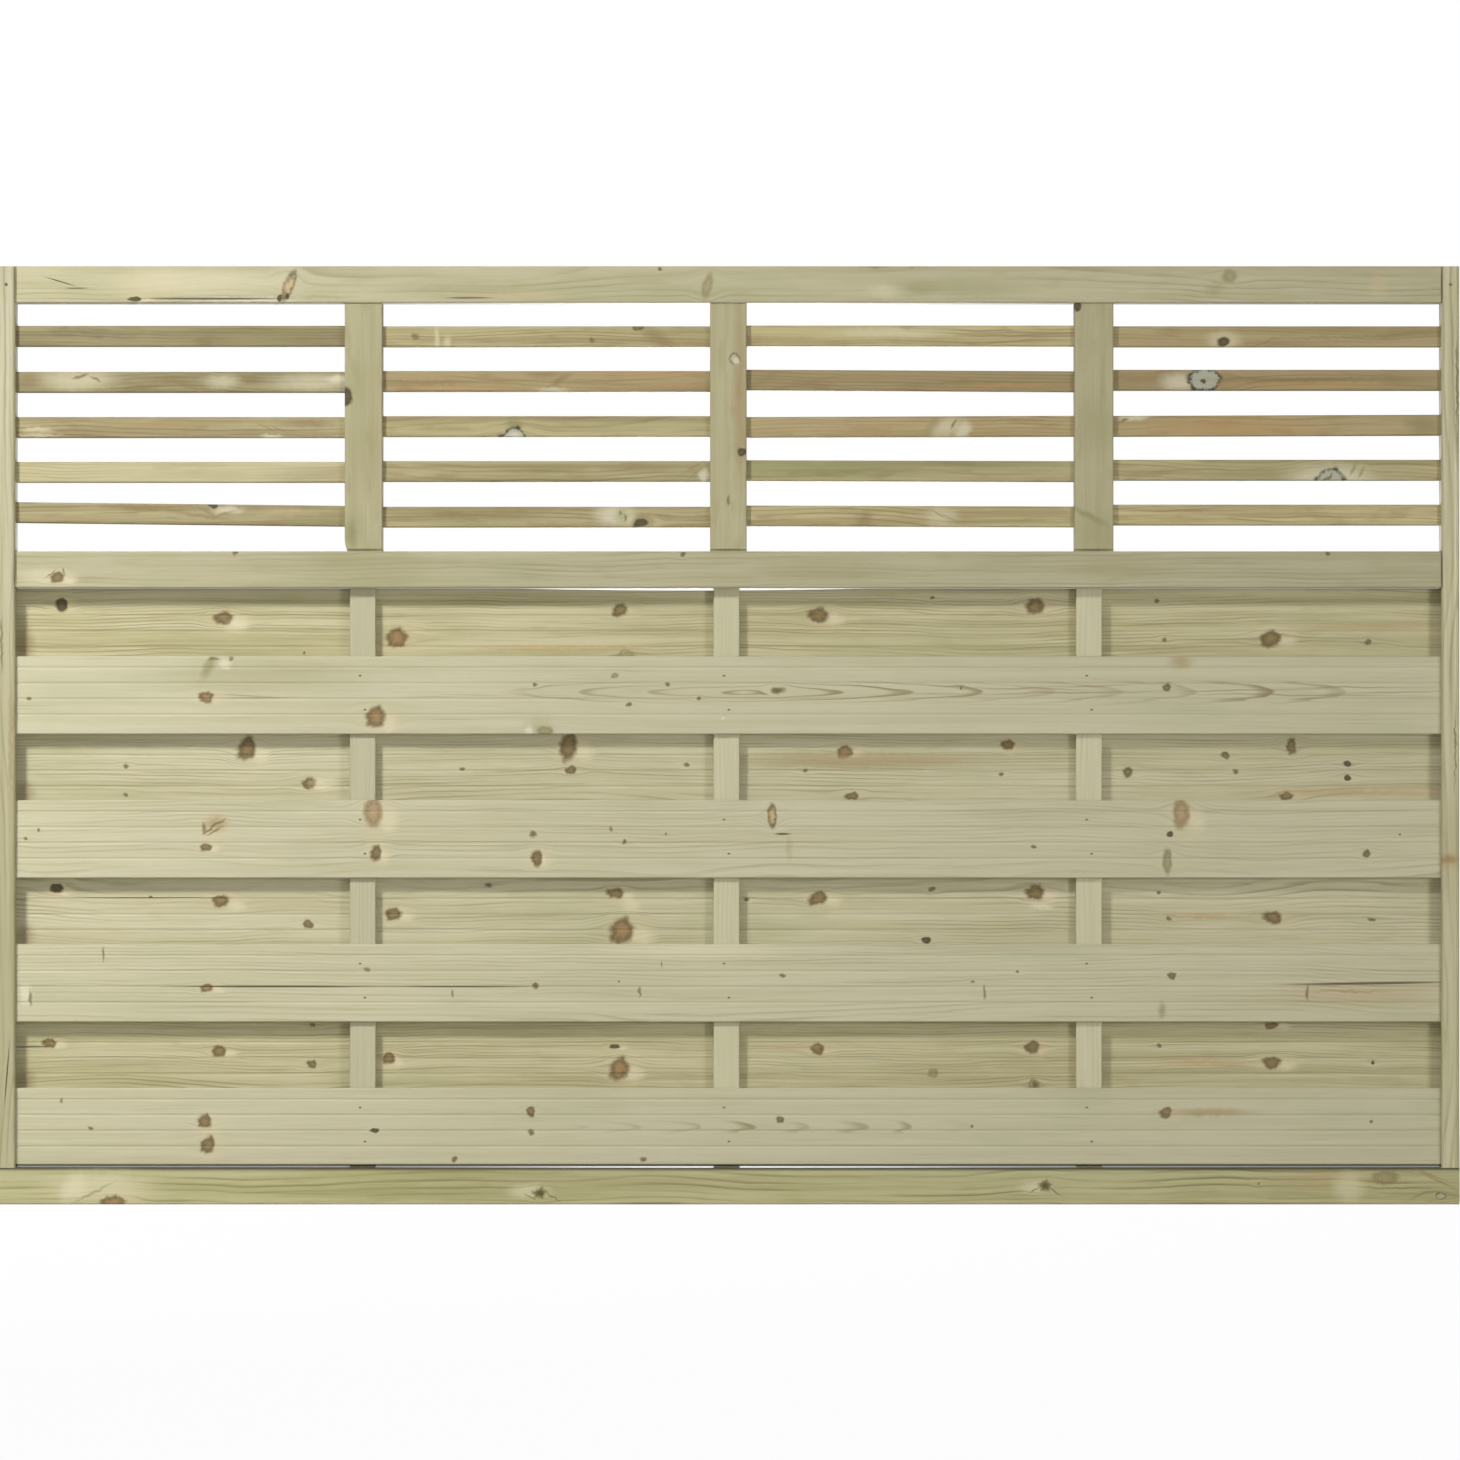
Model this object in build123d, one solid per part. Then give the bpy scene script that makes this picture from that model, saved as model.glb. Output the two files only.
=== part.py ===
from build123d import *
import os

# A garden fence panel in planed softwood: boarded hit and miss below, slatted above.
# X runs along the panel, Y from its front to its back, Z up. All sizes are millimetres.
# The origin is on the ground, at the middle of the underside of the bottom rail.

# Frame
panel_length = 1800
frame_depth = 45
stile_width = 22
bottom_rail_height = 45
mid_rail_height = 45
top_rail_height = 45
lower_opening = 714
upper_opening = 306
stile_easing = 4.5
rail_easing = 2

# Tenons at the ends of the top rail and the mid rail
rail_tenon_length = 16
rail_tenon_thickness = 20
rail_tenon_shoulder = 10

# Muntins between the top rail and the mid rail. From left to right, how much wider than the
# plain width each is sawn, and how far it stands from its even place.
muntin_count = 3
muntin_width = 45
muntin_extra_widths = (1.5, 0, 3)
muntin_shifts = (1, 0, 0)
muntin_depth = 38
muntin_easing = 2
muntin_tenon_length = 12
muntin_tenon_width = 25
muntin_tenon_thickness = 18
wane_height = 17
wane_width = 3.4

# Slats, housed in the stiles and the muntins
slat_rows = 5
slat_height = 25.5
slat_depth = 21
slat_easing = 2
slat_housing_depth = 8

# How far each slat stands above its even place: a line for each row, from the top one down
slat_lifts = (
    (2, 1.4, 2.3, 1.4),
    (0.5, 1.5, 2.2, 3),
    (0, 1.2, 0.8, 2.2),
    (0, 1, 1.5, 2.6),
    (3.4, 0, 0.9, 2.6),
)

# How far each slat falls from its left end to its right end
slat_falls = (
    (0, 0, 0, 0),
    (0, 0, 2, 0),
    (0, 0, -1.6, -1.4),
    (0, 0, 1.2, 0),
    (4.6, 0, 1.2, 0),
)

# Battens that carry the boards, one below each muntin, a little off their even places
batten_width = 32
batten_thickness = 14
batten_easing = 1.5
batten_housing_depth = 10
batten_shifts = (-0.5, -2.3, -5.7)

# Boards, the same for the front and the back
board_height = 96
board_thickness = 7
board_easing = 2
front_board_count = 4
front_board_foot_gap = 2
front_board_head_gap = 84
top_back_board_gap = 0.4
board_groove_depth = 7

# Four shallow coves along the front face of every board
cove_count = 4
cove_width = 4
cove_depth = 0.6
first_cove_drop = 14
cove_pitch = 19.3

# Hollow in the top edge of the top back board
hollow_length = 420
hollow_depth = 2.4
hollow_centre = -47

# Clearances
end_gap = 1
side_gap = 0.2
board_groove_gap = 0.5

# Board nails: square-section brads with a T-head, two to a board at every batten
brad_length = 20
brad_head_width = 3.2
brad_head_thickness = 1.2
brad_shank_width = 1.8
brad_point_length = 2
brad_drops = (24, 66)
brad_stagger = 3

# Wire nails that pin the tenons of the top rail into the stiles
pin_length = 34
pin_head_diameter = 4.2
pin_head_thickness = 1
pin_shank_diameter = 2.2
pin_point_length = 2.5

# How far the heads of brads and pins are sunk below the wood
nail_sink = 0.4

# Countersunk screws up through the bottom rail into the stiles
screw_length = 80
screw_head_diameter = 9
screw_head_height = 4
screw_shank_diameter = 4.5
screw_point_length = 6
screw_sink = 1
screw_drive_width = 3
screw_drive_depth = 2

# Levels and lengths that follow from the sizes above
mid_rail_underside = bottom_rail_height + lower_opening
mid_rail_top = mid_rail_underside + mid_rail_height
top_rail_underside = mid_rail_top + upper_opening
panel_height = top_rail_underside + top_rail_height
inner_length = panel_length - 2 * stile_width
board_length = inner_length + 2 * (board_groove_depth - end_gap)
board_stack = 2 * board_thickness + batten_thickness
front_board_y = -(batten_thickness + board_thickness) / 2
back_board_y = (batten_thickness + board_thickness) / 2
left_and_right = (-1, 1)


def even_centres():
    """X centres of uprights that part the inner length into equal bays."""
    pitch = (inner_length + muntin_width) / (muntin_count + 1)
    return [(i - (muntin_count - 1) / 2) * pitch for i in range(muntin_count)]


def muntin_centres():
    return [x + shift for x, shift in zip(even_centres(), muntin_shifts)]


def batten_centres():
    return [x + shift for x, shift in zip(even_centres(), batten_shifts)]


def muntin_faces():
    """Left and right face of each muntin."""
    halves = [(muntin_width + extra) / 2 for extra in muntin_extra_widths]
    return [(x - half, x + half) for x, half in zip(muntin_centres(), halves)]


def slat_bays():
    """Left and right face of each bay between stiles and muntins."""
    lefts = [-inner_length / 2] + [right for _, right in muntin_faces()]
    rights = [left for left, _ in muntin_faces()] + [inner_length / 2]
    return list(zip(lefts, rights))


def slat_levels():
    """Z of the underside of each slat row in its even place, from the top row down."""
    gap = (upper_opening - slat_rows * slat_height) / (slat_rows + 1)
    return [top_rail_underside - (row + 1) * (gap + slat_height) for row in range(slat_rows)]


def slat_place(row, bay):
    """The middle of one slat, with X along the slat and Z square to it."""
    left_face, right_face = slat_bays()[bay]
    run = right_face - left_face
    fall = slat_falls[row][bay]
    level = slat_levels()[row] + slat_lifts[row][bay]
    middle = ((left_face + right_face) / 2, 0, level + slat_height / 2)
    return Plane(origin=middle, x_dir=(run, 0, -fall), z_dir=(fall, 0, run))


def front_board_levels():
    """Z of the centre of each front board, from the top one down."""
    boarded = lower_opening - front_board_foot_gap - front_board_head_gap
    pitch = (boarded - board_height) / (front_board_count - 1)
    lowest = bottom_rail_height + front_board_foot_gap + board_height / 2
    return [lowest + i * pitch for i in reversed(range(front_board_count))]


def back_board_levels():
    """Z of the centre of each back board: one under the mid rail, then one behind each gap."""
    fronts = front_board_levels()
    top = mid_rail_underside - top_back_board_gap - board_height / 2
    return [top] + [(upper + lower) / 2 for upper, lower in zip(fronts, fronts[1:])]


def eased_bar(size_x, size_y, size_z, grain, easing):
    """A planed bar centred on the origin, with its four arrises along the grain eased."""
    bar = Box(size_x, size_y, size_z)
    return fillet(bar.edges().filter_by(grain), easing)


def make_brad():
    """A brad along +Y with the top of its T-head at the origin and a chisel point."""
    head = brad_head_width / 2
    shank = brad_shank_width / 2
    outline = Polyline(
        (-head, 0),
        (head, 0),
        (head, brad_head_thickness),
        (shank, brad_head_thickness),
        (shank, brad_length - brad_point_length),
        (0, brad_length),
        (-shank, brad_length - brad_point_length),
        (-shank, brad_head_thickness),
        (-head, brad_head_thickness),
        close=True,
    )
    return extrude(make_face(outline), shank, both=True)


def make_brad_bore():
    """The hole that a brad leaves: its own form and the dimple over its sunk head."""
    dimple = Box(brad_head_width, nail_sink, brad_shank_width)
    return make_brad() + Pos(0, -nail_sink / 2, 0) * dimple


def make_pin():
    """A wire nail along +Y, with the top of its head at the origin."""
    head = pin_head_diameter / 2
    shank = pin_shank_diameter / 2
    outline = Polyline(
        (0, 0),
        (head, 0),
        (head, pin_head_thickness),
        (shank, pin_head_thickness),
        (shank, pin_length - pin_point_length),
        (0, pin_length),
        close=True,
    )
    return revolve(make_face(outline), Axis.Y)


def pin_place(side):
    """Where a pin enters the front of a stile, at mid height of the top rail."""
    x = side * (panel_length - stile_width) / 2
    return Pos(x, nail_sink - frame_depth / 2, top_rail_underside + top_rail_height / 2)


def pin_bore(side):
    """The hole of a pin, with the dimple over its sunk head."""
    dimple = Rot(90, 0, 0) * Cylinder(pin_head_diameter / 2, nail_sink)
    return pin_place(side) * (make_pin() + Pos(0, -nail_sink / 2, 0) * dimple)


def brad_places(levels, direction):
    """Where the brads enter the front (+1) or back (-1) face of boards at the given levels."""
    turn = Rot(0, 0, 0) if direction > 0 else Rot(0, 0, 180)
    face_y = direction * (nail_sink - board_stack / 2)
    sides = (-brad_stagger, brad_stagger)
    places = []
    for level in levels:
        for x in batten_centres():
            for side, drop in zip(sides, brad_drops):
                places.append(Pos(x + side, face_y, level + board_height / 2 - drop) * turn)
    return places


def front_brad_places():
    return brad_places(front_board_levels(), 1)


def back_brad_places():
    return brad_places(back_board_levels(), -1)


def brad_bores(places):
    """The holes of the brads at the given places."""
    bore = make_brad_bore()
    return [place * bore for place in places]


def board_section():
    """End view of a board: eased rectangle with shallow coves worked along its front face."""
    section = RectangleRounded(board_thickness, board_height, board_easing)
    radius = (cove_width**2 / 4 + cove_depth**2) / (2 * cove_depth)
    cutter_x = -board_thickness / 2 - radius + cove_depth
    first_z = board_height / 2 - first_cove_drop
    for i in range(cove_count):
        section -= Pos(cutter_x, first_z - i * cove_pitch) * Circle(radius)
    return section


def make_board(direction, level):
    """One board at its height, on the front (+1) or the back (-1) of the battens."""
    board_y = front_board_y if direction > 0 else back_board_y
    board = extrude(Plane.YZ * board_section(), board_length / 2, both=True)
    board = Pos(0, board_y, level) * board
    return board - brad_bores(brad_places([level], direction))


def hollow_edge(board, level):
    """The board with a long shallow hollow worn in its top edge."""
    radius = (hollow_length**2 / 4 + hollow_depth**2) / (2 * hollow_depth)
    top_edge = level + board_height / 2
    disc = Plane.XZ * Circle(radius)
    cutter = extrude(disc, board_stack, both=True)
    return board - Pos(hollow_centre, 0, top_edge - hollow_depth + radius) * cutter


def make_batten(x):
    """An upright that stands in the bottom rail and reaches into the mid rail."""
    foot = bottom_rail_height - batten_housing_depth
    head = mid_rail_underside + batten_housing_depth - end_gap
    bar = eased_bar(batten_width, batten_thickness, head - foot, Axis.Z, batten_easing)
    batten = Pos(x, 0, (foot + head) / 2) * bar
    return batten - brad_bores(front_brad_places() + back_brad_places())


def batten_housing(x, face_z, direction):
    """A stopped housing for a batten end, cut up (+1) or down (-1) from a rail's face."""
    hole = Box(batten_width + 2 * side_gap, batten_thickness + 2 * side_gap, batten_housing_depth)
    return Pos(x, 0, face_z + direction * batten_housing_depth / 2) * hole


def muntin_mortise(x, face_z, direction):
    """A stopped mortise for a muntin's tenon, cut up (+1) or down (-1) from a rail's face."""
    depth = muntin_tenon_length + end_gap
    hole = Box(muntin_tenon_width + 2 * side_gap, muntin_tenon_thickness + 2 * side_gap, depth)
    return Pos(x, 0, face_z + direction * depth / 2) * hole


def tenoned_rail(underside, height):
    """A rail between the stiles, with a tenon at each end."""
    centre = underside + height / 2
    rail = eased_bar(inner_length, frame_depth, height, Axis.X, rail_easing)
    tenon_height = height - 2 * rail_tenon_shoulder
    rail += Box(inner_length + 2 * rail_tenon_length, rail_tenon_thickness, tenon_height)
    return Pos(0, 0, centre) * rail


def rail_mortise(side, underside, height):
    """The mortise in a stile for one rail tenon."""
    depth = rail_tenon_length + end_gap
    width = rail_tenon_thickness + 2 * side_gap
    hole = Box(depth, width, height - 2 * rail_tenon_shoulder + 2 * side_gap)
    return Pos(side * (inner_length + depth) / 2, 0, underside + height / 2) * hole


def corner_screw(side):
    """A countersunk screw that stands under one stile, in the wood beside the board groove."""
    head = screw_head_diameter / 2
    shank = screw_shank_diameter / 2
    outline = Polyline(
        (0, 0),
        (head, 0),
        (shank, screw_head_height),
        (shank, screw_length - screw_point_length),
        (0, screw_length),
        close=True,
    )
    screw = revolve(Plane.XZ * make_face(outline), Axis.Z)
    drive = Box(screw_drive_width, screw_drive_width, 2 * screw_drive_depth)
    x = side * (panel_length - stile_width + board_groove_depth) / 2
    return Pos(x, 0, screw_sink) * screw, Pos(x, 0, screw_sink) * drive


def screw_bore(side):
    """The hole of a corner screw, with the dimple over its sunk head."""
    screw, _ = corner_screw(side)
    dimple = Cylinder(screw_head_diameter / 2, screw_sink)
    x = screw.bounding_box().center().X
    return screw + Pos(x, 0, screw_sink / 2) * dimple


def make_bottom_rail():
    rail = eased_bar(panel_length, frame_depth, bottom_rail_height, Axis.X, rail_easing)
    rail = Pos(0, 0, bottom_rail_height / 2) * rail
    rail -= [batten_housing(x, bottom_rail_height, -1) for x in batten_centres()]
    return rail - [screw_bore(side) for side in left_and_right]


def make_mid_rail():
    rail = tenoned_rail(mid_rail_underside, mid_rail_height)
    rail -= [batten_housing(x, mid_rail_underside, 1) for x in batten_centres()]
    return rail - [muntin_mortise(x, mid_rail_top, -1) for x in muntin_centres()]


def make_top_rail():
    rail = tenoned_rail(top_rail_underside, top_rail_height)
    rail -= [muntin_mortise(x, top_rail_underside, 1) for x in muntin_centres()]
    return rail - [pin_bore(side) for side in left_and_right]


def slat_housings(bay):
    """A bar for every slat of a bay, that cuts the housings for both its ends."""
    left_face, right_face = slat_bays()[bay]
    length = right_face - left_face + 2 * slat_housing_depth
    hole = Box(length, slat_depth + 2 * side_gap, slat_height + side_gap)
    return [slat_place(row, bay) * Pos(0, 0, side_gap / 2) * hole for row in range(slat_rows)]


def make_stile(side):
    """An upright at one end: board groove below, housings above, standing on the bottom rail."""
    height = panel_height - bottom_rail_height
    stile = eased_bar(stile_width, frame_depth, height, Axis.Z, stile_easing)
    x = side * (panel_length - stile_width) / 2
    stile = Pos(x, 0, bottom_rail_height + height / 2) * stile
    groove = Box(board_groove_depth, board_stack + 2 * board_groove_gap, lower_opening)
    groove_x = side * (inner_length + board_groove_depth) / 2
    stile -= Pos(groove_x, 0, bottom_rail_height + lower_opening / 2) * groove
    stile -= rail_mortise(side, mid_rail_underside, mid_rail_height)
    stile -= rail_mortise(side, top_rail_underside, top_rail_height)
    stile -= slat_housings(0 if side < 0 else muntin_count)
    return stile - [pin_bore(side), screw_bore(side)]


def wane(edge):
    """The sliver missing at the foot of a muntin's left edge, where the bark edge ran out."""
    outline = TangentArc((edge, wane_height), (edge + wane_width, 0), tangent=(0, -1))
    outline += Polyline((edge + wane_width, 0), (edge, 0), (edge, wane_height))
    cutter = extrude(Plane.XZ * make_face(outline), muntin_depth, both=True)
    return Pos(0, 0, mid_rail_top) * cutter


def make_muntin(i):
    """A short upright with a tenon at each end and slat housings in both sides."""
    left_face, right_face = muntin_faces()[i]
    width = right_face - left_face
    muntin = eased_bar(width, muntin_depth, upper_opening, Axis.Z, muntin_easing)
    tenon_height = upper_opening + 2 * muntin_tenon_length
    muntin += Box(muntin_tenon_width, muntin_tenon_thickness, tenon_height)
    muntin = Pos(muntin_centres()[i], 0, mid_rail_top + upper_opening / 2) * muntin
    muntin -= slat_housings(i) + slat_housings(i + 1)
    return muntin - wane(left_face) if i == 0 else muntin


def make_slat(row, bay):
    """A slat between two upright faces, its ends let into both."""
    left_face, right_face = slat_bays()[bay]
    length = right_face - left_face + 2 * (slat_housing_depth - end_gap)
    return slat_place(row, bay) * eased_bar(length, slat_depth, slat_height, Axis.X, slat_easing)


def make_group(solids):
    """Like fasteners that share one sub-part, each still a solid of its own."""
    return Compound(children=[solid.solid() for solid in solids])


def make_board_nails(places):
    brad = make_brad()
    return make_group([place * brad for place in places])


def make_tenon_pins():
    pin = make_pin()
    return make_group([pin_place(side) * pin for side in left_and_right])


def make_corner_screws():
    pairs = [corner_screw(side) for side in left_and_right]
    return make_group([screw - drive for screw, drive in pairs])


def make_parts():
    """Every sub-part of the panel by name."""
    parts = {
        "bottom_rail": make_bottom_rail(),
        "mid_rail": make_mid_rail(),
        "top_rail": make_top_rail(),
        "left_stile": make_stile(-1),
        "right_stile": make_stile(1),
    }
    for i in range(muntin_count):
        parts[f"muntin_{i + 1}"] = make_muntin(i)
    for row in range(slat_rows):
        for bay in range(muntin_count + 1):
            parts[f"slat_row_{row + 1}_bay_{bay + 1}"] = make_slat(row, bay)
    for i, x in enumerate(batten_centres(), start=1):
        parts[f"batten_{i}"] = make_batten(x)
    for i, level in enumerate(front_board_levels(), start=1):
        parts[f"front_board_{i}"] = make_board(1, level)
    for i, level in enumerate(back_board_levels(), start=1):
        parts[f"back_board_{i}"] = make_board(-1, level)
    parts["back_board_1"] = hollow_edge(parts["back_board_1"], back_board_levels()[0])
    parts["front_board_nails"] = make_board_nails(front_brad_places())
    parts["back_board_nails"] = make_board_nails(back_brad_places())
    parts["tenon_pins"] = make_tenon_pins()
    parts["corner_screws"] = make_corner_screws()
    return parts


def main():
    os.makedirs("parts", exist_ok=True)
    for name, part in make_parts().items():
        export_step(part, f"parts/{name}.step")


main()
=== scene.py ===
import math
import random
from collections import namedtuple

import bpy
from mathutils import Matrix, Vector


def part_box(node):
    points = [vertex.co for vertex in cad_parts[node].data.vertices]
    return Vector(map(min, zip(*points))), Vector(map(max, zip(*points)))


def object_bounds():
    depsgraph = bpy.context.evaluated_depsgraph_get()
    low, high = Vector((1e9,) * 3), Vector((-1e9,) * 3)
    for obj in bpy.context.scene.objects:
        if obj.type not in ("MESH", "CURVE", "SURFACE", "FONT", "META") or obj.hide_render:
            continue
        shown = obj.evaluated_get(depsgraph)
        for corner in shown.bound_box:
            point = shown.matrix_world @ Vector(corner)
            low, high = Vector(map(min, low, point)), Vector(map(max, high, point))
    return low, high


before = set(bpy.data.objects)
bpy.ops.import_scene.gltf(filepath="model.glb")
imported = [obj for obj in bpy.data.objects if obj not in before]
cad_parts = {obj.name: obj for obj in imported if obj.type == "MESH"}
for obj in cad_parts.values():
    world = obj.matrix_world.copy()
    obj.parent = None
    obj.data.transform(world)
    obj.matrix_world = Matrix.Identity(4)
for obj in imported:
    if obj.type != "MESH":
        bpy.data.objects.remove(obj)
cad_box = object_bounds()
scene = bpy.context.scene

# The frame is in metres. Marks in the wood are given in millimetres, as they would be measured
# on the panel: x from its middle, z from the ground.
mm_per_metre = 1000


class Value:
    """One output of a node. Arithmetic on it adds Math nodes to the same finish."""

    def __init__(self, finish, socket):
        self.finish = finish
        self.socket = socket

    def maths(self, operation, *inputs):
        return self.finish.node("ShaderNodeMath", {"operation": operation}, dict(enumerate(inputs)))

    def __add__(self, other):
        return self.maths("ADD", self, other)

    def __sub__(self, other):
        return self.maths("SUBTRACT", self, other)

    def __rsub__(self, other):
        return self.maths("SUBTRACT", other, self)

    def __mul__(self, other):
        return self.maths("MULTIPLY", self, other)

    def __truediv__(self, other):
        return self.maths("DIVIDE", self, other)

    def __pow__(self, other):
        return self.maths("POWER", self, other)

    def __abs__(self):
        return self.maths("ABSOLUTE", self)

    __radd__ = __add__


class Finish:
    """A material whose nodes are added one by one."""

    def __init__(self, name):
        self.material = bpy.data.materials.new(name)
        self.material.use_nodes = True
        self.tree = self.material.node_tree
        self.tree.nodes.clear()

    def node(self, kind, settings=None, sockets=None, output=0):
        """Adds a node: its settings first, then the values or links of its sockets."""
        node = self.tree.nodes.new(kind)
        for name, setting in (settings or {}).items():
            setattr(node, name, setting)
        for name, value in (sockets or {}).items():
            if isinstance(value, Value):
                self.tree.links.new(value.socket, node.inputs[name])
            else:
                node.inputs[name].default_value = value
        return Value(self, node.outputs[output]) if node.outputs else None

    def vector(self, operation, *inputs):
        return self.node("ShaderNodeVectorMath", {"operation": operation}, dict(enumerate(inputs)))

    def length(self, vector):
        return self.node("ShaderNodeVectorMath", {"operation": "LENGTH"}, {0: vector}, "Value")

    def scaled(self, vector, scale):
        return self.node("ShaderNodeVectorMath", {"operation": "SCALE"}, {0: vector, "Scale": scale})

    def join(self, x, y, z):
        """A vector made of three numbers."""
        return self.node("ShaderNodeCombineXYZ", None, {"X": x, "Y": y, "Z": z})

    def part(self, vector):
        """The three numbers of a vector."""
        first = self.node("ShaderNodeSeparateXYZ", None, {0: vector})
        return [Value(self, socket) for socket in first.socket.node.outputs]

    def fade(self, value, start, end):
        """0 on the start side, 1 on the end side, smooth between them."""
        sockets = {"Value": value, "From Min": start, "From Max": end}
        return self.node("ShaderNodeMapRange", {"interpolation_type": "SMOOTHSTEP"}, sockets)

    def mix(self, factor, first, second):
        """A mix of two colours."""
        return self.node("ShaderNodeMix", {"data_type": "RGBA"}, {0: factor, 6: first, 7: second}, 2)

    def noise(self, place, detail=2):
        """Smooth noise from 0 to 1 with a grain of about one unit."""
        return self.node("ShaderNodeTexNoise", None, {"Vector": place, "Scale": 1, "Detail": detail})

    def bump(self, height):
        """The surface's normal over a relief given in millimetres."""
        sockets = {"Height": height, "Distance": 1 / mm_per_metre, "Strength": 1}
        return self.node("ShaderNodeBump", None, sockets)

    def surface(self, sockets):
        """Ends the finish in a shader with the given sockets."""
        shader = self.node("ShaderNodeBsdfPrincipled", None, sockets)
        self.node("ShaderNodeOutputMaterial", None, {"Surface": shader})
        return self.material


def colour(red, green, blue):
    """A colour written as 0 to 255 on a screen, as the linear values that a shader takes."""

    def linear(level):
        level = level / 255
        return level / 12.92 if level <= 0.04045 else ((level + 0.055) / 1.055) ** 2.4

    return linear(red), linear(green), linear(blue), 1


# What a mark in the wood looks like: its colour inside and at its rim, how soft its edge is,
# how strongly it covers the wood, how far it bends the grain, whether it has a blunt point and a
# warm blush beside it, how far out its rim begins, and how far rays reach out past the rim.
Look = namedtuple("Look", "shade rim softness cover bend blush hem rays", defaults=[0.1, 0])


def stain(shade, softness, cover):
    """The look of a mark in one colour, beside which the grain runs straight on."""
    return Look(shade, shade, softness, cover, 0, False)


looks = {
    "red knot": Look(colour(142, 114, 72), colour(94, 76, 42), 0.3, 0.92, 1, True, 0.2, 0.5),
    "pink knot": Look(colour(164, 142, 104), colour(130, 108, 72), 0.35, 0.88, 1, True),
    "brown knot": Look(colour(124, 104, 62), colour(86, 72, 40), 0.3, 0.92, 1, True, 0.1, 0.4),
    "dark knot": Look(colour(84, 74, 43), colour(66, 58, 34), 0.25, 0.97, 1, True),
    "olive knot": Look(colour(140, 130, 88), colour(112, 102, 64), 0.35, 0.75, 0.6, False),
    "pin knot": Look(colour(92, 80, 48), colour(108, 94, 60), 0.4, 0.85, 0.7, False),
    "ringed knot": Look(colour(170, 160, 128), colour(78, 68, 42), 0.2, 0.9, 1, False, 0.6),
    "grey knot": Look(colour(168, 168, 148), colour(44, 42, 28), 0.15, 0.95, 1, False, 0.75, 0.5),
    "leaf knot": Look(colour(190, 166, 120), colour(92, 80, 46), 0.25, 0.9, 1, False),
    "soft knot": Look(colour(158, 148, 106), colour(136, 126, 86), 0.4, 0.8, 0.8, False),
    "star knot": Look(colour(70, 66, 34), colour(112, 105, 64), 0.35, 0.95, 1, False, 0.3, 0.9),
    "blush": stain(colour(206, 186, 146), 0.8, 0.32),
    "pale patch": stain(colour(212, 204, 172), 0.7, 0.5),
    "white patch": stain(colour(218, 213, 186), 0.7, 0.6),
    "crack": stain(colour(62, 52, 30), 0.5, 0.9),
    "damp wood": stain(colour(144, 139, 94), 0.8, 0.35),
    "grain line": stain(colour(136, 118, 78), 0.8, 0.6),
    "warm wood": stain(colour(172, 138, 92), 0.8, 0.28),
    "bleached wood": stain(colour(206, 201, 168), 0.8, 0.3),
    "green wood": stain(colour(132, 138, 88), 0.8, 0.5),
    "brown wood": stain(colour(128, 108, 70), 0.8, 0.55),
    # Dirt and painted shade in the joints where rails, muntins and stiles meet
    "joint dirt and shade": stain(colour(84, 76, 46), 0.6, 0.85),
    # Painted shadow: the dark line along the gap between the lowest front board and the bottom rail
    "painted gap shadow": stain(colour(56, 52, 34), 0.45, 0.95),
    "brown streak": stain(colour(152, 130, 88), 0.8, 0.6),
    "orange streak": stain(colour(178, 142, 94), 0.8, 0.55),
    "olive streak": stain(colour(130, 124, 84), 0.8, 0.6),
    "tick": stain(colour(110, 96, 62), 0.5, 0.75),
}

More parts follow.
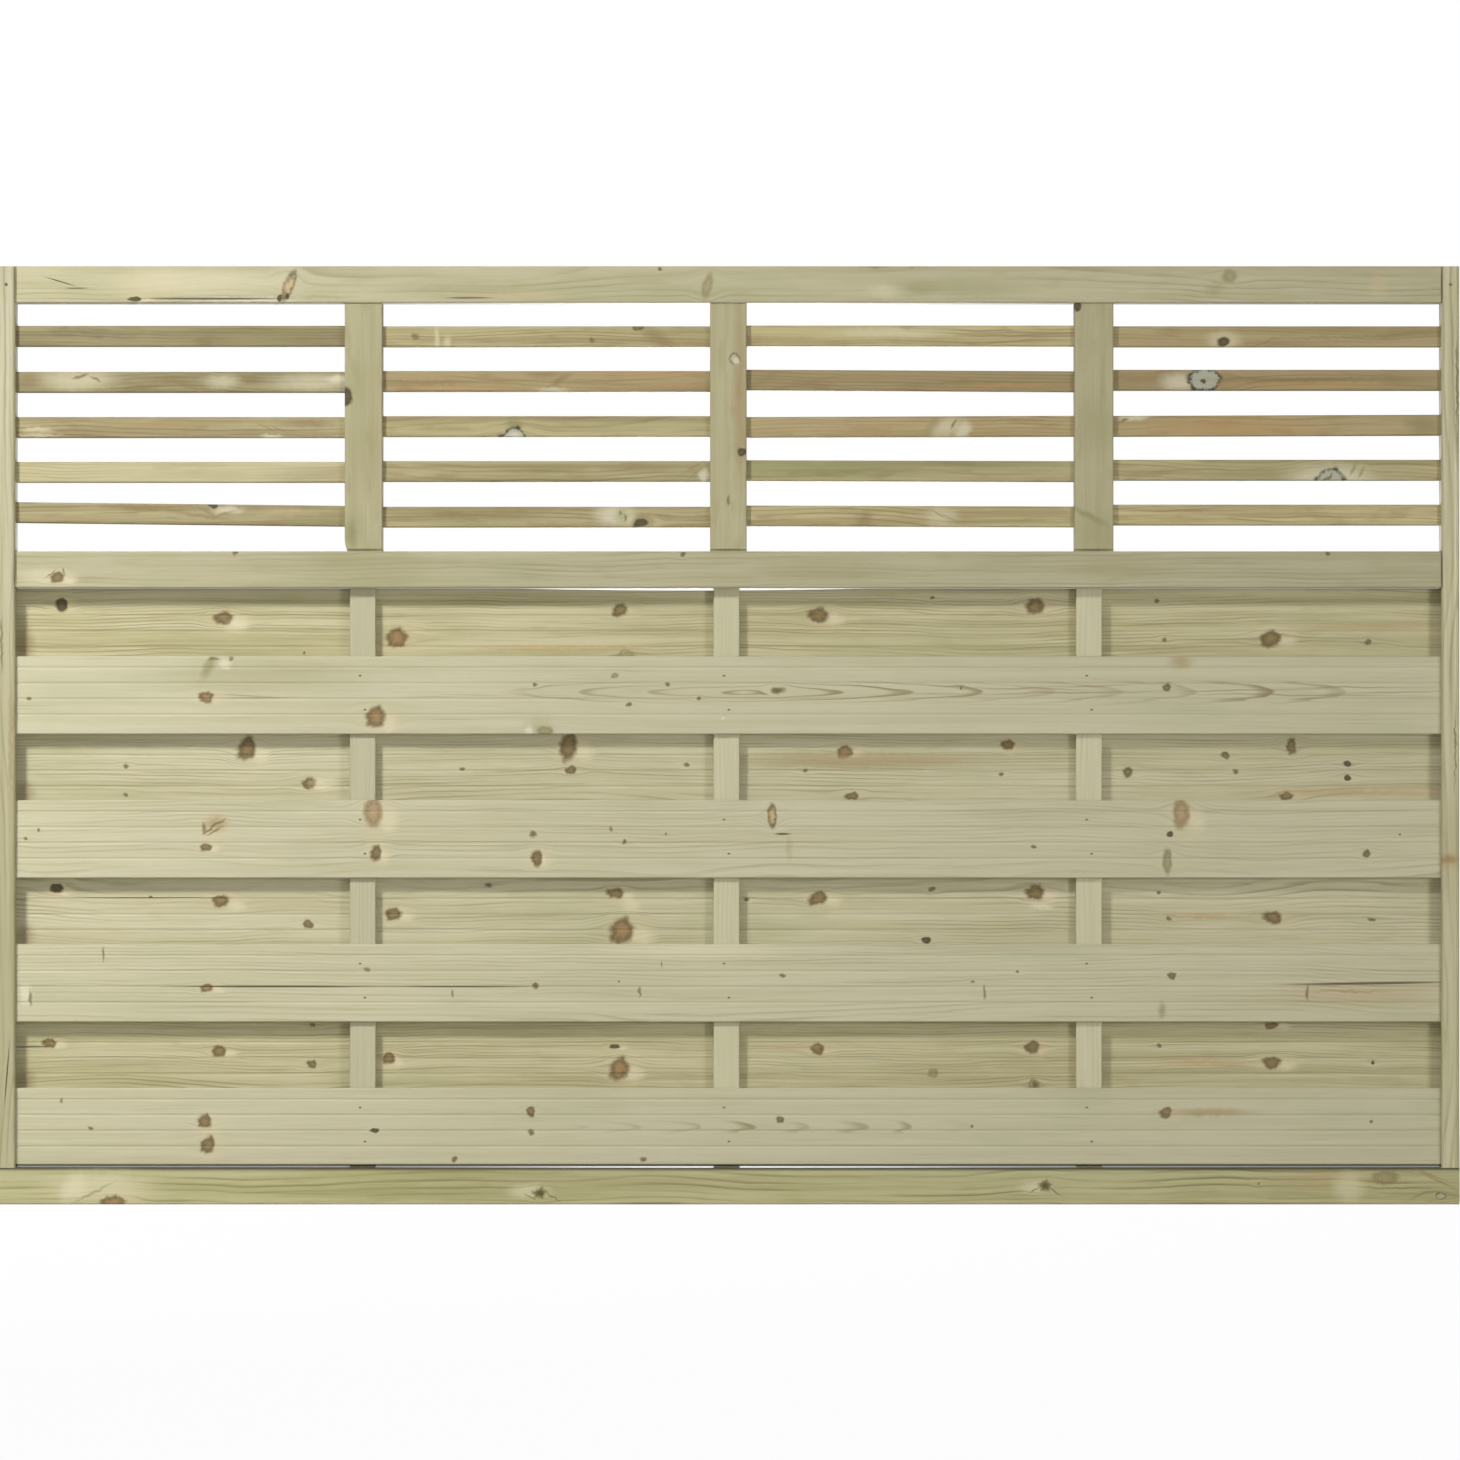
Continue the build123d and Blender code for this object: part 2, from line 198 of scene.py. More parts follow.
# A mark: its look, its middle, its width and height, and how much it leans (rise over run)
Mark = namedtuple("Mark", "look x z wide tall lean", defaults=[0])
marks = {
    "top_rail": [
        ("blush", -712, 1132, 66, 30),
        ("white patch", -600, 1114, 120, 6),
        ("leaf knot", -541, 1131, 14, 38, 0.35),
        ("dark knot", -552, 1116, 6, 8),
        ("crack", -636, 1115, 172, 2.4),
        ("dark knot", -731, 1115, 17, 5),
        ("crack", -822, 1136, 34, 1.4, -0.3),
        ("crack", -802, 1128, 26, 1.2),
        ("crack", -318, 1116, 50, 2.4),
        ("damp wood", -500, 1117, 60, 4),
        ("crack", -543, 1118, 5, 7),
        ("pale patch", -660, 1136, 200, 26),
        ("blush", -270, 1118, 110, 12),
        ("pale patch", 194, 1124, 40, 14),
        ("damp wood", 230, 1128, 50, 18),
        ("olive streak", 180, 1154, 30, 3),
        ("olive streak", 232, 1154, 20, 3),
        ("damp wood", -330, 1126, 160, 16),
        ("soft knot", -26, 1131, 12, 30, 0.2),
        ("damp wood", 300, 1128, 120, 18),
        ("soft knot", 617, 1143, 18, 15),
        ("damp wood", 600, 1128, 18, 20, 0.4),
        ("blush", 800, 1131, 20, 26),
        # Dirt and painted shade in the joints at the rail's ends
        ("joint dirt and shade", -877, 1131, 2, 60),
        ("joint dirt and shade", 878, 1131, 2, 60),
        ("pin knot", -84, 1152, 5, 4),
    ],
    "mid_rail": [
        ("pale patch", -840, 772, 60, 20),
        ("brown knot", -826, 772, 16, 13),
        ("damp wood", -452, 784, 130, 60),
        ("tick", -834, 777, 12, 2.4, 0.8),
        ("tick", -818, 779, 3, 9, -0.3),
        ("damp wood", 120, 780, 160, 24),
        ("damp wood", 480, 782, 120, 26),
        # Dirt and painted shade in the joints at the rail's ends
        ("joint dirt and shade", -877, 785, 2, 60),
        ("joint dirt and shade", 878, 785, 2, 60),
        ("pin knot", -607, 802, 7, 5),
        ("pin knot", -56, 800, 6, 5),
        ("pin knot", 738, 801, 6, 5),
    ],
    "bottom_rail": [
        # Painted shadow along the rail's top edge, under the gap below the lowest front board
        ("painted gap shadow", 0, 47, 6000, 9.5),
        ("pale patch", -772, 22, 110, 34),
        ("pale patch", -806, 20, 26, 30, 0.4),
        ("olive streak", -782, 14, 40, 3, 0.5),
        ("red knot", -757, 2, 28, 17),
        ("damp wood", -300, 20, 300, 30),
        ("pale patch", -246, 16, 44, 16),
        ("star knot", -232, 14, 13, 12),
        ("tick", -216, 9, 18, 2.4, -0.6),
        ("tick", -244, 9, 14, 2, -0.5),
        ("pale patch", 378, 22, 34, 14),
        ("star knot", 390, 23, 13, 12),
        ("tick", 403, 16, 16, 2.4, -0.7),
        ("tick", 377, 18, 12, 2, 0.5),
        ("ringed knot", 877, 10, 12, 9),
        ("grain line", 850, 12, 24, 2.4, 0.5),
        ("grain line", 864, 17, 20, 2),
        ("grain line", 874, 31, 44, 2.6, -0.5),
        ("grain line", 868, 37, 34, 2.2, -0.4),
        ("olive knot", 808, 33, 32, 17),
        ("warm wood", 735, 30, 120, 16),
        ("pin knot", 653, 26, 3, 3),
        ("pale patch", 764, 21, 34, 32),
    ],
    "left_stile": [
        ("damp wood", -892, 400, 60, 760),
        ("damp wood", -892, 200, 40, 400),
        ("crack", -888, 160, 1.6, 70, 0.08),
        ("brown streak", -884, 560, 4, 130),
        ("tick", -895, 690, 3, 60),
        # Dirt and painted shade in the joint between the stile and the bottom rail
        ("joint dirt and shade", -889, 38, 30, 2.4),
    ],
    "right_stile": [
        ("damp wood", 892, 330, 60, 640),
        ("tick", 897, 1010, 3, 110),
        ("tick", 895, 560, 2, 90),
        ("orange streak", 889, 424, 34, 16),
        ("brown wood", 886, 425, 16, 8),
        # Dirt and painted shade in the joint between the stile and the bottom rail
        ("joint dirt and shade", 889, 38, 30, 2.4),
    ],
    "muntin_1": [
        ("damp wood", -456, 1010, 34, 50),
        ("damp wood", -452, 930, 40, 90),
        ("dark knot", -471, 995, 17, 22),
        ("damp wood", -462, 836, 26, 50),
        ("olive streak", -464, 826, 12, 30),
        # Dirt and painted shade in the joint at the muntin's foot
        ("joint dirt and shade", -449, 806, 60, 2.6),
    ],
    "muntin_2": [
        ("brown streak", 14, 1000, 16, 200),
        ("ringed knot", 8, 1041, 14, 15),
        ("white patch", 9, 1038, 8, 8),
        ("dark knot", 17, 926, 11, 10),
        ("tick", 0, 867, 3, 12),
        # Dirt and painted shade in the joint at the muntin's foot
        ("joint dirt and shade", 0, 806, 60, 2.6),
    ],
    "muntin_3": [
        ("dark knot", 429, 1107, 12, 12),
        ("olive streak", 444, 848, 40, 8, -0.5),
        ("damp wood", 458, 826, 40, 44),
        ("damp wood", 452, 960, 40, 60),
        # Dirt and painted shade in the joint at the muntin's foot
        ("joint dirt and shade", 450, 806, 60, 2.6),
    ],
    "slat_row_1_bay_1": [
        ("grain line", -739, 1080, 26, 3),
        ("damp wood", -718, 1068, 24, 16),
        ("damp wood", -560, 1070, 120, 20),
    ],
    "slat_row_2_bay_1": [
        ("pale patch", -802, 1015, 80, 24),
        ("brown wood", -862, 1015, 26, 16),
        ("tick", -798, 1020, 18, 4, 0.3),
        ("tick", -780, 1017, 12, 3, -0.4),
        ("brown wood", -690, 1016, 50, 9),
        ("brown wood", -668, 1009, 40, 7, -0.2),
        ("pale patch", -624, 1014, 40, 14),
        ("brown wood", -590, 1016, 26, 9),
        ("pale patch", -512, 1013, 90, 20),
        ("white patch", -482, 1017, 22, 9),
    ],
    "slat_row_3_bay_1": [
        ("pale patch", -852, 954, 34, 7),
        ("pale patch", -846, 947, 40, 4),
        ("brown streak", -700, 960, 120, 8),
        ("white patch", -563, 946, 24, 5),
        ("grain line", -572, 957, 20, 2, -0.5),
        ("grain line", -556, 954, 24, 2, -0.4),
        ("brown wood", -520, 962, 60, 8),
    ],
    "slat_row_5_bay_1": [
        ("brown wood", -720, 858, 90, 6, -0.06),
        ("brown wood", -650, 848, 60, 5, -0.15),
        ("white patch", -616, 855, 34, 8),
        ("dark knot", -635, 861, 12, 8),
        ("olive streak", -642, 853, 24, 4, -0.6),
        ("olive streak", -622, 850, 30, 4, 0.3),
        ("grain line", -690, 860, 100, 2, 0.06),
        ("grain line", -740, 852, 90, 2, 0.05),
        ("blush", -540, 852, 90, 8),
    ],
    "slat_row_1_bay_2": [
        ("pale patch", -359, 1066, 6, 26),
        ("pale patch", -346, 1062, 8, 14),
        ("tick", -386, 1069, 10, 7),
        ("tick", -168, 1064, 6, 6),
        ("brown wood", -87, 1067, 42, 18, -0.6),
        ("brown knot", -111, 1080, 12, 6),
    ],
    "slat_row_2_bay_2": [
        ("warm wood", -220, 1012, 700, 70),
        ("brown wood", -380, 1012, 110, 7),
        ("orange streak", -330, 1007, 140, 5),
        ("orange streak", -90, 1022, 150, 5),
        ("orange streak", -70, 1010, 90, 4),
        ("brown wood", -228, 1022, 36, 7),
        ("brown wood", -209, 1014, 26, 9, 0.7),
        ("pale patch", -216, 1003, 34, 6),
        ("grain line", -140, 1015, 100, 2, 0.02),
        ("grain line", -300, 1017, 90, 2, -0.06),
    ],
    "slat_row_3_bay_2": [
        ("olive streak", -264, 961, 18, 18),
        ("grey knot", -264, 943, 26, 28),
        ("white patch", -263, 945, 16, 11),
        ("dark knot", -280, 945, 7, 4),
    ],
    "slat_row_4_bay_1": [("bleached wood", -650, 902, 500, 50), ("blush", -590, 892, 60, 5)],
    "slat_row_4_bay_2": [
        ("white patch", -30, 898, 12, 16),
        ("grain line", -44, 907, 24, 2, 0.5),
        ("grain line", -38, 901, 20, 2, 0.7),
    ],
    "slat_row_5_bay_2": [
        ("brown wood", -300, 850, 120, 8),
        ("white patch", -140, 849, 44, 24),
        ("green wood", -132, 848, 14, 18),
        ("tick", -127, 845, 3, 9),
        ("tick", -133, 852, 3, 7),
        ("olive knot", -105, 840, 26, 18),
        ("dark knot", -107, 840, 16, 11),
    ],
    "slat_row_1_bay_3": [
        ("pale patch", 200, 1074, 120, 10),
        ("grain line", 330, 1070, 110, 2.4, -0.05),
        ("grain line", 360, 1063, 130, 2.4, 0.05),
        ("grain line", 390, 1072, 80, 2, 0.08),
        ("grain line", 320, 1076, 90, 2, -0.04),
    ],
    "slat_row_2_bay_3": [
        ("warm wood", 220, 1013, 700, 70),
        ("olive streak", 42, 1015, 34, 9, 0.6),
        ("grain line", 76, 1008, 90, 2.6, 0.16),
        ("grain line", 110, 1016, 70, 2.4, 0.12),
        ("brown streak", 190, 1019, 150, 4, 0.03),
        ("grain line", 250, 1012, 220, 2.4, -0.01),
        ("brown streak", 330, 1006, 150, 4),
        ("orange streak", 350, 1009, 120, 4),
    ],
    "slat_row_3_bay_3": [
        ("warm wood", 220, 957, 700, 70),
        ("olive streak", 252, 956, 14, 22, 0.5),
        ("pale patch", 268, 957, 34, 22, 0.4),
        ("white patch", 289, 953, 16, 20, 0.4),
        ("tick", 278, 962, 3, 12, 0.6),
    ],
    "slat_row_4_bay_3": [("green wood", 100, 906, 240, 20), ("green wood", 340, 912, 160, 8)],
    "slat_row_5_bay_3": [
        ("brown wood", 168, 844, 18, 16),
        ("pale patch", 262, 848, 36, 20),
        ("grain line", 258, 850, 24, 2, -0.5),
        ("grain line", 272, 846, 20, 2, -0.5),
    ],
    "slat_row_1_bay_4": [
        ("warm wood", 660, 1068, 700, 70),
        ("pale patch", 610, 1064, 38, 22),
        ("dark knot", 610, 1063, 15, 12),
        ("olive streak", 664, 1063, 36, 3, 0.35),
        ("olive streak", 760, 1068, 170, 3, 0.01),
        ("olive streak", 840, 1073, 70, 3, 0.08),
    ],
    "slat_row_2_bay_4": [
        ("warm wood", 660, 1014, 700, 70),
        ("white patch", 556, 1013, 40, 20),
        ("grey knot", 587, 1016, 39, 28),
        ("dark knot", 585, 1014, 6, 5),
        ("brown wood", 720, 1016, 220, 5),
        ("orange streak", 730, 1009, 200, 5),
    ],
    "slat_row_3_bay_4": [
        ("warm wood", 660, 957, 700, 70),
        ("white patch", 500, 969, 36, 6, 0.1),
        ("tick", 487, 966, 12, 3, 0.3),
        ("orange streak", 620, 957, 180, 22),
        ("olive streak", 858, 960, 38, 24),
    ],
    "slat_row_4_bay_4": [
        ("white patch", 742, 896, 90, 26),
        ("grey knot", 742, 889, 36, 34),
        ("tick", 741, 896, 3, 10, 0.6),
        ("tick", 736, 894, 12, 3, 0.6),
        ("olive streak", 770, 906, 4, 14, 0.4),
        ("olive streak", 780, 902, 4, 12, 0.4),
        ("grain line", 600, 905, 180, 2, 0.02),
    ],
    "slat_row_5_bay_4": [
        ("grain line", 560, 856, 110, 2, 0.03),
        ("grain line", 700, 847, 160, 2),
        ("grain line", 640, 843, 120, 2, -0.04),
    ],
    "front_board_1": [
        ("pin knot", -862, 623, 7, 5),
        ("damp wood", -560, 650, 230, 36),
        ("olive streak", -640, 662, 12, 26, 0.4),
        ("white patch", -620, 666, 14, 12),
        ("tick", -634, 671, 14, 3),
        ("tick", -613, 672, 6, 5),
        ("grain line", -578, 624, 74, 1.8),
        ("grain line", -596, 627, 56, 1.6, -0.05),
        ("red knot", -643, 625, 17, 13),
        ("red knot", -434, 600, 22, 25),
        ("pin knot", -238, 640, 6, 5),
        ("damp wood", -232, 590, 30, 20),
        ("olive knot", -226, 583, 20, 12),
        ("white patch", -246, 584, 8, 10),
        ("olive knot", -140, 651, 9, 7),
        ("pin knot", -122, 615, 8, 5),
        ("pin knot", -75, 640, 5, 4),
        ("pin knot", -36, 623, 6, 5),
        ("olive knot", 61, 633, 18, 9),
        ("pin knot", 60, 633, 11, 7),
        # Painted glint: the tiny white spot where light catches a nail by the middle batten
        ("white patch", -7, 599, 4, 4),
        ("pin knot", 286, 636, 4, 4),
        ("grain line", 372, 635, 130, 2, -0.02),
        ("grain line", 420, 630, 190, 1.8, 0.01),
        ("grain line", 445, 638, 90, 1.6, 0.02),
        ("grain line", 640, 634, 150, 1.8, 0.015),
        ("grain line", 700, 628, 240, 2, -0.01),
        ("grain line", 760, 637, 160, 1.6),
        ("grain line", 818, 631, 110, 1.8, 0.02),
        ("brown knot", 540, 637, 10, 8),
        ("brown streak", 558, 668, 26, 14),
    ],
    "front_board_2": [
        ("blush", -634, 466, 34, 26),
        ("brown streak", -631, 469, 26, 18),
        ("tick", -646, 463, 5, 14),
        ("tick", -639, 462, 16, 3, 0.7),
        ("tick", -633, 460, 18, 3, 0.5),
        ("tick", -628, 470, 16, 4, 0.6),
        ("brown knot", -643, 440, 13, 9),
        ("pink knot", -437, 483, 20, 36),
        ("brown knot", -434, 433, 13, 18),
        ("pin knot", -850, 460, 4, 4),
        ("pin knot", -866, 450, 5, 3),
        ("pin knot", -240, 456, 9, 8),
        ("brown knot", -236, 427, 13, 18),
        ("tick", -145, 462, 4, 7),
        ("pin knot", -128, 447, 5, 5),
        ("pin knot", -77, 456, 3, 3),
        ("leaf knot", 54, 478, 11, 30),
        ("crack", 67, 456, 18, 2.4),
        ("damp wood", 75, 438, 8, 26),
        ("pin knot", 376, 440, 8, 3),
        ("pink knot", 558, 482, 20, 34),
        ("dark knot", 544, 456, 8, 6),
        ("olive knot", 541, 422, 10, 30),
        ("brown knot", 786, 432, 9, 10),
        ("pin knot", 827, 455, 4, 3),
    ],
    "front_board_3": [
        ("white patch", -866, 259, 14, 20),
        ("tick", -860, 254, 4, 18, 0),
        ("red knot", -642, 267, 14, 9),
        ("pale patch", -40, 312, 190, 18),
        ("crack", -560, 268, 240, 2),
        ("crack", -330, 268, 170, 1.4),
        ("pin knot", -238, 269, 8, 8),
        ("tick", -340, 260, 3, 11),
        ("tick", -109, 261, 3, 12),
        ("tick", -82, 295, 2, 9),
        ("pin knot", 67, 281, 8, 5),
        ("pin knot", -135, 274, 3, 3),
        ("tick", -770, 308, 3, 18),
        ("tick", -445, 289, 9, 4),
        ("tick", 316, 261, 3, 17),
        ("pin knot", 301, 274, 4, 3),
        ("pin knot", 356, 287, 3, 4),
        ("brown knot", 546, 282, 10, 7),
        ("crack", 789, 272, 180, 3, 0.015),
        ("warm wood", 780, 258, 200, 24),
        ("brown streak", 765, 262, 80, 3),
        ("tick", 713, 261, 4, 18),
        ("olive streak", 534, 239, 8, 18),
    ],
    "front_board_4": [
        # Painted shadow along the board's lower edge, over the gap above the bottom rail
        ("painted gap shadow", 0, 47, 6000, 5),
        ("tick", -822, 127, 4, 6),
        ("pin knot", -786, 93, 7, 4),
        ("brown knot", -645, 102, 16, 17),
        ("brown knot", -640, 74, 14, 19),
        ("dark knot", -436, 91, 11, 5),
        ("brown knot", -243, 114, 9, 13),
        ("pin knot", -243, 88, 8, 8),
        ("pin knot", -338, 56, 7, 7),
        ("pin knot", -105, 55, 8, 7),
        ("brown knot", 64, 104, 10, 8),
        ("pin knot", 300, 95, 4, 4),
        ("brown knot", 540, 113, 13, 12),
        ("brown streak", 592, 113, 90, 9),
        ("pin knot", 792, 101, 5, 4),
    ],
    "back_board_1": [
        # Darker brown in the corner by the left stile, just above the board below
        ("brown wood", -869, 690, 22, 36),
        ("dark knot", -823, 740, 15, 14),
        ("brown knot", -622, 722, 21, 16),
        ("pale patch", -608, 712, 24, 14),
        ("pin knot", -524, 679, 4, 4),
        ("red knot", -409, 698, 24, 22),
        ("brown knot", -133, 733, 16, 15),
        ("soft knot", -127, 676, 20, 14),
        ("brown knot", 113, 726, 20, 18),
        ("pin knot", 252, 747, 5, 4),
        ("brown knot", 379, 737, 21, 18),
        ("pin knot", 528, 743, 6, 5),
        ("pin knot", 538, 696, 6, 5),
        ("brown knot", 670, 698, 24, 16),
        ("pin knot", 789, 693, 7, 5),
        ("orange streak", -208, 685, 200, 5),
        ("warm wood", 794, 710, 156, 12),
    ],
    "back_board_2": [
        # Darker brown in the corner by the left stile, just above the board below
        ("brown wood", -869, 506, 22, 24),
        ("pin knot", -744, 540, 7, 6),
        ("pin knot", -744, 504, 6, 5),
        ("brown knot", -593, 562, 18, 28),
        ("brown knot", -517, 519, 16, 14),
        ("pale patch", -498, 519, 30, 16),
        ("brown knot", -197, 566, 20, 28),
        ("brown knot", -194, 535, 12, 10),
        ("pin knot", -328, 536, 6, 5),
        ("pin knot", -51, 541, 6, 5),
        ("pin knot", 95, 535, 6, 5),
        ("brown knot", 144, 558, 18, 14),
        ("brown knot", 154, 503, 12, 9),
        ("pin knot", 337, 530, 6, 6),
        ("brown knot", 346, 566, 13, 12),
        ("brown knot", 493, 533, 12, 10),
        ("brown knot", 614, 553, 9, 8),
        ("pin knot", 626, 533, 7, 6),
        ("brown knot", 689, 503, 16, 9),
        ("brown knot", 695, 564, 11, 20),
        ("dark knot", 764, 543, 9, 7),
        ("dark knot", 764, 525, 9, 7),
        ("brown streak", 163, 546, 272, 18),
        ("orange streak", 786, 507, 186, 6),
    ],
    "back_board_3": [
        # Darker brown in the corner by the left stile, just above the board below
        ("brown wood", -869, 330, 22, 24),
        ("dark knot", -829, 389, 17, 12),
        ("brown knot", -626, 374, 20, 12),
        ("pale patch", -606, 366, 20, 11),
        ("brown knot", -518, 344, 12, 10),
        ("brown knot", -413, 357, 19, 14),
        ("brown knot", -138, 383, 16, 13),
        ("pale patch", -120, 368, 22, 14),
        ("red knot", -131, 337, 27, 28),
        ("pin knot", 22, 375, 6, 4),
        ("brown knot", 112, 377, 19, 14),
        ("pin knot", -296, 392, 8, 6),
        ("pin knot", 252, 388, 8, 7),
        ("dark knot", 244, 325, 11, 8),
        ("brown knot", 380, 384, 20, 17),
        ("white patch", 386, 366, 24, 7),
        ("pin knot", 544, 352, 8, 6),
        ("brown knot", 673, 353, 20, 15),
        ("pin knot", 794, 350, 10, 4),
        ("pin knot", 531, 384, 6, 4),
        ("orange streak", 589, 354, 78, 6),
        ("pin knot", -714, 378, 5, 4),
        ("crack", -722, 377, 170, 1),
    ],
    "back_board_4": [
        # Darker brown in the corner by the left stile, just above the board below
        ("brown wood", -869, 152, 22, 24),
        ("brown knot", -837, 198, 15, 11),
        ("crack", -862, 193, 46, 1.6),
        ("brown knot", -628, 188, 16, 12),
        ("brown knot", -513, 172, 10, 10),
        ("brown knot", -419, 179, 14, 14),
        ("dark knot", -140, 194, 13, 6),
        ("red knot", -134, 167, 21, 25),
        ("brown knot", 110, 191, 15, 11),
        ("orange streak", 78, 193, 60, 3),
        ("olive knot", 253, 160, 11, 11),
        ("brown knot", 375, 193, 16, 15),
        ("olive knot", 377, 147, 12, 14),
        ("pin knot", 378, 146, 5, 8),
        ("brown knot", 671, 220, 15, 7),
        ("brown knot", 671, 174, 21, 14),
        ("pin knot", 532, 194, 5, 5),
        ("dark knot", 795, 174, 5, 5),
        ("orange streak", 584, 174, 104, 6),
        ("pin knot", -513, 220, 7, 5),
    ],
}


# A kind of timber: its pale and tan wood, the colour of its dark ring lines, the green that
# pressure treatment leaves in patches, the width of a ring in millimetres, how plainly rings,
# broad streaks and mottled patches show, and how far to one side the pith may lie.
Timber = namedtuple("Timber", "pale tan line green ring lines streaks mottle aside")
timbers = {
    "frame": Timber(
        colour(184, 178, 146), colour(168, 161, 124), colour(122, 112, 76), colour(156, 156, 112),
        5, 0.4, 0.6, 0.5, (20, 45),
    ),
    "bottom": Timber(
        colour(182, 177, 134), colour(160, 154, 106), colour(112, 104, 58), colour(156, 156, 98),
        4.5, 0.75, 0.7, 0.4, (50, 80),
    ),
    "slat": Timber(
        colour(184, 173, 130), colour(148, 131, 90), colour(112, 96, 60), colour(146, 143, 96),
        3.5, 0.6, 0.7, 0.7, (25, 60),
    ),
    "muntin": Timber(
        colour(184, 177, 141), colour(170, 161, 122), colour(140, 130, 92), colour(168, 166, 120),
        5, 0.15, 0.5, 0.8, (20, 40),
    ),
    "stile": Timber(
        colour(190, 184, 155), colour(164, 157, 124), colour(118, 108, 74), colour(162, 161, 122),
        3, 0.6, 0.9, 0.3, (20, 40),
    ),
    "batten": Timber(
        colour(190, 185, 154), colour(180, 175, 142), colour(152, 144, 110), colour(178, 178, 140),
        4, 0.3, 0.4, 0.2, (10, 30),
    ),
    "front": Timber(
        colour(192, 187, 157), colour(180, 174, 140), colour(134, 123, 86), colour(170, 171, 136),
        4, 0.4, 0.6, 0.25, (50, 75),
    ),
    "back": Timber(
        colour(194, 187, 150), colour(168, 160, 117), colour(114, 102, 64), colour(163, 161, 119),
        3.5, 0.6, 0.8, 0.4, (45, 70),
    ),
    "pale back": Timber(
        colour(194, 188, 157), colour(174, 167, 130), colour(118, 107, 70), colour(162, 163, 122),
        3.5, 0.55, 0.7, 0.4, (45, 70),
    ),
}

# How light a piece is beside the rest of its kind
tones = {
    "top_rail": 1.04,
    "mid_rail": 0.92,
    "bottom_rail": 0.95,
    "muntin_1": 0.87,
    "muntin_2": 0.91,
    "muntin_3": 0.88,
    "batten_1": 0.9,
    "batten_2": 1.04,
    "batten_3": 1.08,
    "right_stile": 1.28,
    "front_board_4": 0.96,
    "back_board_4": 0.94,
}
slat_tones = [
    (0.64, 0.96, 1.1, 0.88),
    (0.65, 0.745, 0.66, 0.74),
    (0.83, 0.94, 0.97, 0.89),
    (0.94, 0.87, 0.89, 0.95),
    (0.81, 0.89, 1.05, 1.16),
]

# Where the heart of the tree runs close under a face, its rings show as nested arrows that
# point away from the closest place: x and z of that place, its depth under the face, how fast
# the heart sinks away from it along the board, the stretch along which the arrows show, and how
# far up and down from the heart they reach
Heart = namedtuple("Heart", "x z depth slope start end reach")
hearts = {
    "front_board_1": Heart(20, 631, 2.5, 0.045, -230, 760, 18),
    "front_board_4": Heart(-260, 95, 2.5, 0.06, -170, 260, 10),
}

# How far a knot pushes the grain aside (at 1 none would run into it), and the part of a knot's
# size by which its blunt point may stick out
knot_grip = 0.85
tail_reach = 0.35

# Size and reach of the wobble in outlines of knots and stains, and in dark lines of the grain
knot_wobble = (10, 3.5)
line_wobble = (70, 5)

# Where the pith lies behind a face, in millimetres: its depth, how far it wanders in and aside
# along a piece, and how far ripples move the rings
pith_depth = (18, 60)
pith_drift = 30
pith_sidle = 20
ring_ripple = 4

# The coves that the panel has along the front of every board, and how far the darker lines in them
# wander
cove_count = 4
cove_width = 4
first_cove_drop = 14
cove_pitch = 19.3
cove_line_wander = 1.6

# Millimetres of relief
fibre_relief = 0.07
crack_depth = -0.3

# Width of the smallest knots that have a blunt point, and of those that have a blush
pointed_knot = 9
blushing_knot = 12

# How plainly the rest of the wood's figure shows
green_patches = 0.35
fibre_shade = 0.15
# How dark the lines in the coves are drawn
cove_line_darkening = 0.12
end_grain_shade = 0.45


def place_in_mm(finish):
    """Where a point of the surface is, in millimetres in the panel's own frame."""
    return finish.scaled(finish.node("ShaderNodeTexCoord", output="Object"), mm_per_metre)


def stretched(wood, grain, along, across, dice, detail=2):
    """Noise drawn out along the grain, its patches of the given size in millimetres."""
    seed = [dice.uniform(0, 90) for _ in range(3)]
    size = (1 / along, 1 / across, 1 / across)
    return wood.noise(wood.vector("MULTIPLY_ADD", grain, size, seed), detail)


def spread(wood, face, mark, wide, tall):
    """Distance from a mark's middle, 1 at the rim of an ellipse of the given half sizes."""
    size = (1 / wide, 0, 1 / tall)
    middle = (-mark.x / wide, 0, -mark.z / tall)
    return wood.length(wood.vector("MULTIPLY_ADD", face, size, middle))


def leaning(wood, face, mark):
    """The face, sheared so that a leaning mark lies along it."""
    x, _, z = wood.part(face)
    if mark.tall > mark.wide:
        return wood.join(x - (z - mark.z) * mark.lean, 0, z)
    return wood.join(x, 0, z - (x - mark.x) * mark.lean)


def with_tail(wood, face, mark, spot, dice):
    """The distance from a knot's middle, changed so that its rim runs out to a blunt point."""
    x, _, z = wood.part(face)
    turn = math.radians(dice.uniform(150, 290))
    toward = (x - mark.x) * (math.cos(turn) * 2 / mark.wide)
    toward = toward + (z - mark.z) * (math.sin(turn) * 2 / mark.tall)
    sharpness = wood.node("ShaderNodeClamp", None, {"Value": toward / spot})
    return spot * (1 - sharpness**4 * dice.uniform(0, tail_reach))


def with_rays(wood, face, mark, spot, reach):
    """The distance from a knot's middle, changed so that its rim runs out in ragged rays."""
    outward = wood.vector("NORMALIZE", wood.vector("SUBTRACT", face, (mark.x, 0, mark.z)))
    ray = wood.fade(wood.noise(wood.vector("MULTIPLY", outward, (2.6, 0, 2.6)), 1), 0.4, 0.65)
    return spot * (1 - ray * reach * 0.3)


